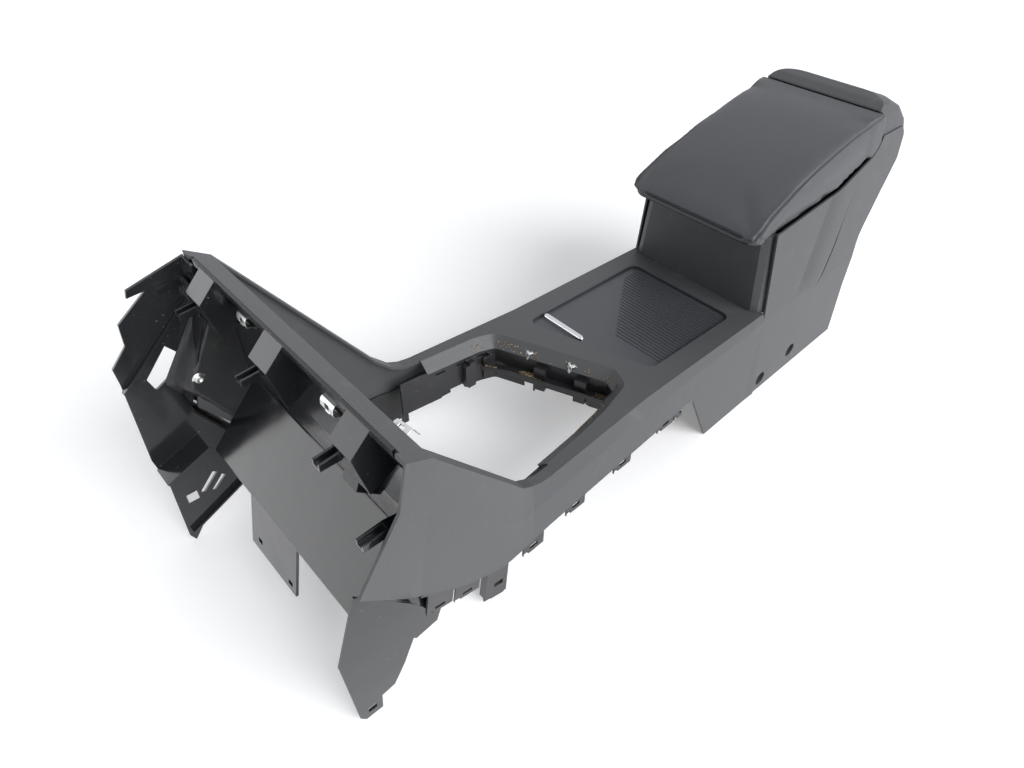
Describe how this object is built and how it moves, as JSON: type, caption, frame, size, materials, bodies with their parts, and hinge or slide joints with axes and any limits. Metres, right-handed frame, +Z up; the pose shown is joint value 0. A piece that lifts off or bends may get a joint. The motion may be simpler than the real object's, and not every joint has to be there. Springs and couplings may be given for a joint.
{
  "type": "car center console",
  "caption": "Floor console with a ribbed sliding tray cover, an armrest tower with a hinged padded lid, a selector opening and an open front frame that rises to the dashboard.",
  "frame": {"origin": "middle of the footprint at floor level", "axes": "+X forward to the dashboard, +Y to the car's left, +Z up"},
  "size_m": [1.048, 0.3682, 0.383],
  "materials": {
    "trim_plastic": "grained",
    "inner_plastic": "moulded",
    "carrier_plastic": "smooth",
    "cover_plastic": "ribbed",
    "armrest_leather": "soft",
    "handle_chrome": "polished",
    "hinge_steel": "zinc plated"
  },
  "bodies": {
    "console": {"clip_rail_left": "inner_plastic", "clip_rail_right": "inner_plastic", "cover_rail_left": "inner_plastic", "cover_rail_right": "inner_plastic", "cup_tray": "inner_plastic", "front_bracket_left": "carrier_plastic", "front_shell_right": "carrier_plastic", "hinge_bracket_left": "hinge_steel", "hinge_bracket_right": "hinge_steel", "hinge_pin": "hinge_steel", "hood_rail": "carrier_plastic", "rear_cap": "trim_plastic", "selector_frame": "inner_plastic", "sloped_panel": "carrier_plastic", "storage_bin": "inner_plastic", "tower_front_wall": "trim_plastic", "tower_panel_left": "trim_plastic", "tower_panel_right": "trim_plastic", "upper_trim": "trim_plastic"},
    "armrest_lid": {"armrest_pad": "armrest_leather", "lid_pan": "inner_plastic"},
    "sliding_cover": {"tray_cover": "cover_plastic", "cover_handle": "handle_chrome"}
  },
  "joints": [
    {"name": "armrest_lid_hinge", "type": "hinge", "parent": "console", "child": "armrest_lid", "pos_m": [-0.4095, 0, 0.345], "axis": [0, -1, 0], "range_deg": [0, 88]},
    {"name": "tray_cover_slide", "type": "slide", "parent": "console", "child": "sliding_cover", "axis": [-1, 0, 0], "range_m": [0, 0.165]}
  ]
}
